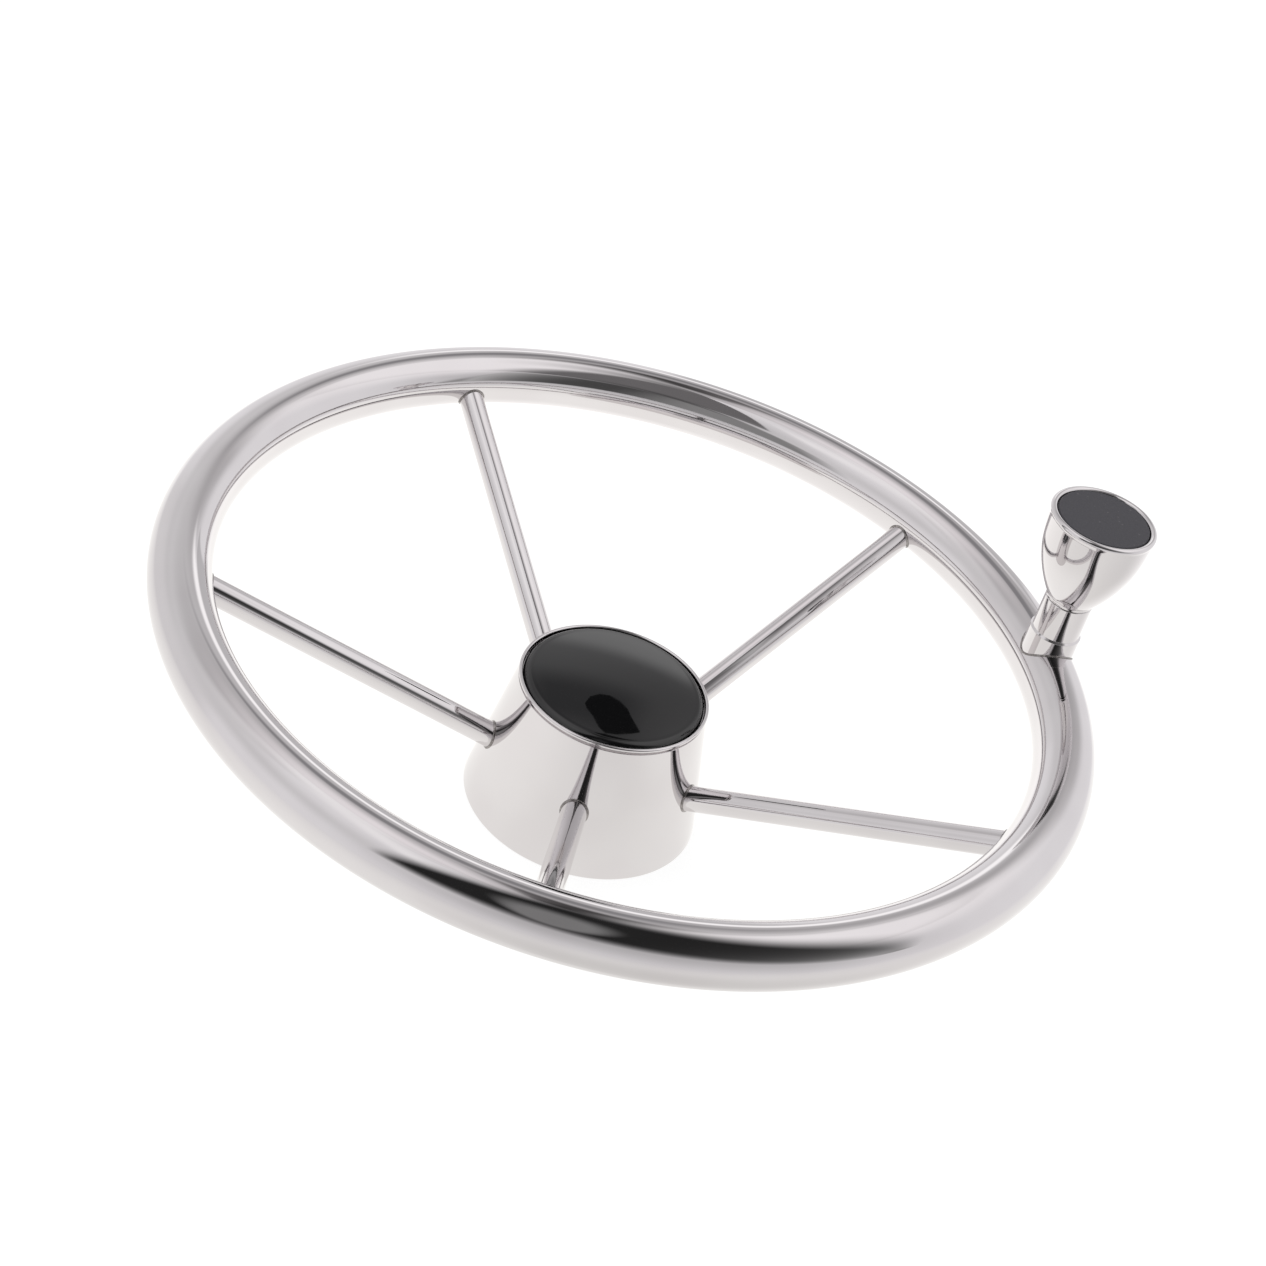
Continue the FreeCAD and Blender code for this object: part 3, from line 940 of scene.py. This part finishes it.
# The hub's shell is a spun cone with a rolled lip, a ledge and a collar
shellSettings = {
    "baseRadius": 44.3, "topRadius": 34.9, "lipHeight": 54.0, "lipRadius": 34.7, "bead": 0.7,
    "baseRound": 1.0, "ledge": 52.3, "collarRadius": 32.0, "collarDepth": 6.0, "wall": 1.2,
    "rollFoot": 53.6, "rollTuck": 0.25, "crevice": 1.1, "creviceDepth": 0.75,
    "cornerRound": 0.22, "segments": 288, "rows": 14, "footSteps": 10, "tuckSteps": 6, "beadSteps": 18,
}
shellSlope = (shellSettings["baseRadius"] - shellSettings["topRadius"]) / shellSettings["lipHeight"]
shellAcross = shellSettings["wall"] * sqrt(1 + shellSlope**2)


def flankRadius(height):
    return shellSettings["baseRadius"] - shellSlope * height


def shellOutline():
    s = shellSettings
    bead, lip, foot = s["bead"], s["lipRadius"], s["baseRound"]
    rollFoot, tuck, ledge = s["rollFoot"], s["rollTuck"], s["ledge"]
    collar, collarFoot, underLedge = s["collarRadius"], ledge - s["collarDepth"], ledge - s["wall"]
    outline = [(flankRadius(0) - shellAcross, 0.0)]
    outline += arcSteps(flankRadius(foot) - foot, foot, foot, -90, 0, s["footSteps"])
    cheek = rollFoot - s["crevice"]
    for row in range(1, s["rows"] + 1):
        height = foot + (cheek - foot) * row / s["rows"]
        outline.append((flankRadius(height), height))
    # the dark line under the lip, where the rolled edge closes on the cone
    root = flankRadius(rollFoot) - s["creviceDepth"]
    outline += [(root, cheek), (root, rollFoot)]
    outline += arcSteps(lip + bead - tuck, rollFoot + tuck, tuck, -90, 0, s["tuckSteps"])
    outline += arcSteps(lip, s["lipHeight"], bead, 0, 180, s["beadSteps"])
    outline += [
        (lip - bead, ledge), (collar, ledge), (collar, collarFoot), (collar + s["wall"], collarFoot),
        (collar + s["wall"], underLedge), (flankRadius(underLedge) - shellAcross, underLedge),
    ]
    return softened(outline, s["cornerRound"])


shellMesh = turnedMesh("hubShell", shellOutline(), shellSettings["segments"])
hubShell = sharpPiece("hubShell", shellMesh, polishedSteel)
finishPiece(hubShell, "wheel", "polished_steel", "hub_shell")
print("stage: hub shell,", len(hubShell.data.polygons), "faces")


def outsideCone(x, y, z):
    return hypot(x, y) - flankRadius(z)


coneFace = (outsideCone, *spokeSettings["coneFrom"])

# A weld is a fine bead along the line where two pieces meet
weldSettings = {"aroundBead": 12, "ripple": 0.25}  # the ripple in shares of the bead


def beadTree():
    tree, given = startTree("weldBead", {
        "Bead": 0.0005, "Steps": 90, "Ripple": 0.0001, "Ripple Scale": 900.0, "Seed": 3.0,
    })
    path = fromNode(tree, "GeometryNodeMeshToCurve", {"Mesh": given["Geometry"]})
    even = fromNode(tree, "GeometryNodeResampleCurve", {"Curve": path, "Count": given["Steps"]})
    swept = sweep(tree, even, circle(tree, given["Bead"], weldSettings["aroundBead"]))
    inputs = {"Detail": 1.0, "Scale": given["Ripple Scale"], "W": given["Seed"]}
    noise = fromNode(tree, "ShaderNodeTexNoise", inputs, noise_dimensions="4D")
    amount = product(tree, mathNode(tree, "SUBTRACT", noise, 0.5), given["Ripple"])
    push = scaledVector(tree, fromNode(tree, "GeometryNodeInputNormal"), amount)
    rough = fromNode(tree, "GeometryNodeSetPosition", {"Geometry": swept, "Offset": push})
    return endTree(tree, rough, given["Material"])


weldBead = beadTree()


def weldAlong(name, loop, bead, steps):
    edges = [(k, (k + 1) % len(loop)) for k in range(len(loop))]
    sizes = {"Bead": bead * mm, "Steps": steps, "Ripple": bead * weldSettings["ripple"] * mm}
    return runTree(putIn(name, meshFrom(name, loop, [], edges)), weldBead, sizes, weldSteel)


def spokeWelds():
    s = spokeSettings
    for name, face in (("rimWelds", rimFace), ("shellWelds", coneFace)):
        met = metLoop(face, s["radius"] + s["weldOff"], s["weldPoints"])
        weld = weldAlong(name, [rodPoint(*step) for step in met], s["weldBead"], s["weldSteps"])
        finishPiece(setOut(weld, weldSteel), "wheel", "polished_steel")


spokeWelds()
print("stage: spoke welds")

capSettings = {
    "radius": 33.7, "ledge": 52.3, "edgeTop": 55.4, "edgeRound": 3.0, "crown": 57.5, "skirtRadius": 31.7,
    "skirtWall": 3.4, "skirtFoot": 44.8, "grooveHeight": 49.1, "grooveDepth": 2.1, "grooveHalf": 1.35,
    "wall": 2.4, "edgeFrom": 82,  # degrees, where the edge's arc leaves the crown
    "cornerRound": 0.15, "segments": 256, "crownSteps": 30, "edgeSteps": 14, "innerSteps": 10,
}


def capOutline():
    s = capSettings
    flat = s["radius"] - s["edgeRound"]
    rise = s["crown"] - s["edgeTop"]
    sphere = (flat**2 + rise**2) / (2 * rise)
    centre = s["crown"] - sphere
    spread = degrees(atan2(flat, s["edgeTop"] - centre))
    outline = arcSteps(0, centre, sphere, 90, 90 - spread, s["crownSteps"])
    edge = s["edgeRound"]
    outline += arcSteps(flat, s["edgeTop"] - edge, edge, s["edgeFrom"], 0, s["edgeSteps"])
    skirt, foot = s["skirtRadius"], s["skirtFoot"]
    groove, inner = skirt - s["grooveDepth"], skirt - s["skirtWall"]
    high, low = s["grooveHeight"] + s["grooveHalf"], s["grooveHeight"] - s["grooveHalf"]
    outline += [
        (s["radius"], s["ledge"]), (skirt, s["ledge"]), (skirt, high), (groove, high),
        (groove, low), (skirt, low), (skirt, foot), (inner, foot),
    ]
    innerSphere = sphere - s["wall"]
    innerSpread = degrees(atan2(inner, sqrt(innerSphere**2 - inner**2)))
    outline += arcSteps(0, centre, innerSphere, 90 - innerSpread, 90, s["innerSteps"])
    outline[0], outline[-1] = (0.0, s["crown"]), (0.0, centre + innerSphere)
    return softened(outline, s["cornerRound"], closed=False)


capMesh = turnedMesh("centreCap", capOutline(), capSettings["segments"], closed=False)
centreCap = sharpPiece("centreCap", capMesh, glossBlack)
finishPiece(centreCap, "cap", "gloss_black", "centre_cap")
print("stage: cap,", len(centreCap.data.polygons), "faces")

knobSettings = {
    "angle": 22.0, "reach": 160.4, "stemRadius": 9.0, "footRadius": 9.7, "footTop": 96.9,
    "footStart": 1.2, "footShares": (0, 0.3, 0.6, 0.85, 0.97, 1), "sideShares": (0.3, 0.7),
    "stemTop": 111.6, "stemEdge": 0.2, "stemRound": 0.12, "holeRadius": 4.0, "holeEnd": 97.6,
    "neck": 112.8, "neckRadius": 9.0, "neckEdge": 0.06, "skirt": 111.9, "flangeRoom": 8.3,
    "fillet": 1.44, "filletEnd": 0.3, "filletSteps": 10, "flankRows": 40, "innerRows": 12, "hemSteps": 22,
    "radius": 20.0, "hemHeight": 147.35, "wall": 1.25, "hemDepth": 2.0, "hemTurn": 32, "flare": 1.75,
    "flareReach": 16.0, "boreRadius": 6.5, "discRadius": 17.3, "discTop": 148.2, "discSeat": 144.5,
    "discEdge": 0.4, "discFlat": 4.0, "spigotRadius": 9.2, "spigot": 1.5, "cornerRound": 0.15,
    "segments": 192, "weldBead": 0.4, "weldSteps": 160, "weldOff": 0.05,
}
knobPlace = aside((0, 0), radians(knobSettings["angle"]), knobSettings["reach"])
flankSwell = knobSettings["radius"] - knobSettings["neckRadius"]
flankRise = knobSettings["hemHeight"] - knobSettings["neck"]
flankArc = (flankSwell**2 + flankRise**2) / (2 * flankSwell)
flankCentre = knobSettings["radius"] - flankArc


def knobFlank(height, inwards=0.0):
    reach = flankArc - inwards
    return flankCentre + sqrt(reach**2 - (knobSettings["hemHeight"] - height) ** 2)


# The flank runs a little straighter below the rolled mouth, which stands out from it
hemTurn = radians(knobSettings["hemTurn"])
hemFoot = knobSettings["hemHeight"] - knobSettings["wall"] * sin(hemTurn)
hemReach = knobSettings["radius"] - knobSettings["wall"] * (1 - cos(hemTurn))


def outerFlank(height):
    share = max(0.0, 1 - (hemFoot - height) / knobSettings["flareReach"])
    step = knobFlank(hemFoot) - hemReach
    return knobFlank(height) - (step + knobSettings["flare"] * (1 - share)) * share**2


def knobOutline():
    s = knobSettings
    floor = s["neck"] + s["wall"]
    hemEnd = s["hemHeight"] - s["hemDepth"]
    # the fillet touches the neck and the flank
    centre = s["neckRadius"] + s["fillet"]
    drop = sqrt((flankArc + s["fillet"]) ** 2 - (centre - flankCentre) ** 2)
    turn = degrees(atan2(drop, flankCentre - centre))
    outline = [
        (s["boreRadius"], s["neck"]), (s["flangeRoom"], s["neck"]), (s["flangeRoom"], s["skirt"]),
        (s["neckRadius"] - s["neckEdge"], s["skirt"]), (s["neckRadius"], s["skirt"] + s["neckEdge"]),
    ]
    outline += arcSteps(centre, s["hemHeight"] - drop, s["fillet"], 180, turn, s["filletSteps"])
    start = outline[-1][1] + s["filletEnd"]
    for row in range(s["flankRows"]):
        height = start + (hemFoot - start) * row / s["flankRows"]
        outline.append((outerFlank(height), height))
    radius, wall = s["radius"], s["wall"]
    outline += arcSteps(radius - wall, s["hemHeight"], wall, -s["hemTurn"], 180, s["hemSteps"])
    outline.append((radius - 2 * wall, hemEnd))
    for row in range(s["innerRows"] + 1):
        height = hemEnd + (floor - hemEnd) * row / s["innerRows"]
        outline.append((knobFlank(height, wall), height))
    outline.append((s["boreRadius"], floor))
    return softened(outline, s["cornerRound"])


def discOutline():
    s = knobSettings
    radius, top, seat = s["discRadius"], s["discTop"], s["discSeat"]
    foot, edge = seat - s["spigot"], s["discEdge"]
    outline = [
        (0.0, foot), (s["spigotRadius"], foot), (s["spigotRadius"], seat), (radius, seat),
        (radius, top - edge), (radius - edge, top), (radius - s["discFlat"], top), (0.0, top),
    ]
    return softened(outline, s["cornerRound"], closed=False)


cupMesh = turnedMesh("knobShell", knobOutline(), knobSettings["segments"], knobPlace)
knobShell = sharpPiece("knobShell", cupMesh, polishedSteel)
finishPiece(knobShell, "knob", "polished_steel", "knob_shell")
discMesh = turnedMesh("knobDisc", discOutline(), knobSettings["segments"], knobPlace, closed=False)
knobDisc = sharpPiece("knobDisc", discMesh, mattBlack)
finishPiece(knobDisc, "knob", "matte_black", "knob_disc")


# A point of the stem's foot, which lies on the rim's top
def footPoint(turn, reach):
    x, y = aside(knobPlace, turn, reach)
    away = hypot(x, y) - rimSettings["ringRadius"]
    return (x, y, rimSettings["height"] + sqrt(rimSettings["tubeRadius"] ** 2 - away**2))


def stemMesh():
    s = knobSettings
    foot, stem, edge = s["footRadius"], s["stemRadius"], s["stemEdge"]
    around = turns(s["segments"])
    outline = softened(
        [
            (foot, s["footTop"] - s["footStart"]), (foot, s["footTop"]),
            (stem, s["footTop"] + foot - stem), (stem, s["stemTop"] - edge),
            (stem - edge, s["stemTop"]), (s["holeRadius"], s["stemTop"]),
            (s["holeRadius"], s["holeEnd"]), (0.0, s["holeEnd"] - s["holeRadius"] / sqrt(3)),
        ],
        s["stemRound"], closed=False,
    )
    loops = [[footPoint(t, foot * share) for t in around] for share in s["footShares"]]
    rise, rimLine = outline[0][1], loops[-1]
    loops += [[(x, y, low + (rise - low) * share) for x, y, low in rimLine] for share in s["sideShares"]]
    loops += [[(*aside(knobPlace, t, radius), height) for t in around] for radius, height in outline]
    return loopMesh("knobStem", loops)


knobStem = sharpPiece("knobStem", stemMesh(), polishedSteel)
finishPiece(knobStem, "wheel", "polished_steel", "knob_stem")
weldReach, weldSteps = knobSettings["footRadius"] + knobSettings["weldOff"], knobSettings["weldSteps"]
weldLoop = [footPoint(t, weldReach) for t in turns(weldSteps)]
stemWeld = weldAlong("stemWeld", weldLoop, knobSettings["weldBead"], weldSteps)
finishPiece(stemWeld, "wheel", "polished_steel")
print("stage: knob")

# The shaft nut is a hexagon with chamfered faces, and its thread is cut by rule
nutSettings = {
    "acrossFlats": 23.8, "low": 37.0, "height": 9.5, "bore": 7.25, "countersink": 0.8, "faceInset": 0.2,
    "faceEdge": 0.1, "segments": 192, "rows": 72, "sharp": 20,
    "pitch": 1.41, "threadDepth": 0.6, "grooveRun": (0.12, 0.92),  # flank of the groove, from the crest
    "boreWithin": 0.00005,  # metres, how close to the bore a point is cut
}


# Radius of the hexagon in one direction, with a corner on the X axis
def hexagonReach(turn):
    fromFlat = turn % (pi / 3) - pi / 6
    return nutSettings["acrossFlats"] / 2 / cos(fromFlat)


def nutMesh():
    s = nutSettings
    low, high, edge = s["low"], s["low"] + s["height"], s["faceEdge"]
    bore, mouth, face = s["bore"], s["bore"] + s["countersink"], s["acrossFlats"] / 2 - s["faceInset"]
    boreLow, boreHigh = low + s["countersink"], high - s["countersink"]
    around = turns(s["segments"])

    def ring(radius, height):
        return [(*aside((0, 0), t, radius), height) for t in around]

    def corners(level, side):
        reaches = [(hexagonReach(t), t) for t in around]
        return [(*aside((0, 0), t, far), level + side * (far - face) / sqrt(3)) for far, t in reaches]

    loops = [ring(bore, boreLow + (boreHigh - boreLow) * row / s["rows"]) for row in range(s["rows"] + 1)]
    radii = (mouth, mouth + edge, face - edge, face)
    loops += [ring(radius, high) for radius in radii]
    loops += [corners(high, -1), corners(low, 1)]
    loops += [ring(radius, low) for radius in reversed(radii)]
    return loopMesh("shaftNut", loops, closed=True)


# Pushes the bore's wall outwards along a helix
def threadTree(sizes):
    tree, given = startTree("cutThread", sizes)
    x, y, z = axes(tree, fromNode(tree, "GeometryNodeInputPosition"))
    turnShare = mathNode(tree, "DIVIDE", mathNode(tree, "ARCTAN2", y, x), 2 * pi)
    phase = mathNode(tree, "SUBTRACT", mathNode(tree, "DIVIDE", z, given["Pitch"]), turnShare)
    centred = mathNode(tree, "MULTIPLY_ADD", mathNode(tree, "FRACT", phase), 2.0, -1.0)
    fromCrest = mathNode(tree, "ABSOLUTE", centred)
    groove = ramp(tree, fromCrest, *nutSettings["grooveRun"], kind="LINEAR")
    flat = fromNode(tree, "ShaderNodeCombineXYZ", {"X": x, "Y": y})
    away = vectorNode(tree, "LENGTH", flat)["Value"]
    depth = product(tree, groove, given["Depth"])
    cut = fromNode(tree, "GeometryNodeSetPosition", {
        "Geometry": given["Geometry"],
        "Selection": mathNode(tree, "COMPARE", away, given["Bore"], nutSettings["boreWithin"]),
        "Offset": scaledVector(tree, vectorNode(tree, "NORMALIZE", flat)[0], depth),
    })
    return endTree(tree, cut, given["Material"])


nutSizes = {
    "Pitch": nutSettings["pitch"] * mm,
    "Depth": nutSettings["threadDepth"] * mm,
    "Bore": nutSettings["bore"] * mm,
}
shaftNut = linkMesh("shaftNut", nutMesh(), machinedSteel)
runTree(shaftNut, threadTree(nutSizes), nutSizes, machinedSteel)
markSharp(shaftNut.data, nutSettings["sharp"])
finishPiece(shaftNut, "wheel", "machined_steel", "shaft_nut")
print("stage: shaft nut,", len(shaftNut.data.polygons), "faces")

# Finishes of the pieces that stay as the CAD made them
keptFinishes = [
    (machinedSteel, ["hub_boss", "hub_back_plate", "shaft_washer", "knob_screw", "screw_washer"]),
    (castAlloy, ["knob_core"]),
    (bushPlastic, ["knob_lower_bush", "knob_upper_bush"]),
    (sealRubber, ["cap_ring"]),
]
for material, names in keptFinishes:
    for name in names:
        node = nodes[name]
        if not node.material_slots:
            node.data.materials.append(material)
        for slot in node.material_slots:
            slot.material = material
print("stage: CAD pieces finished")
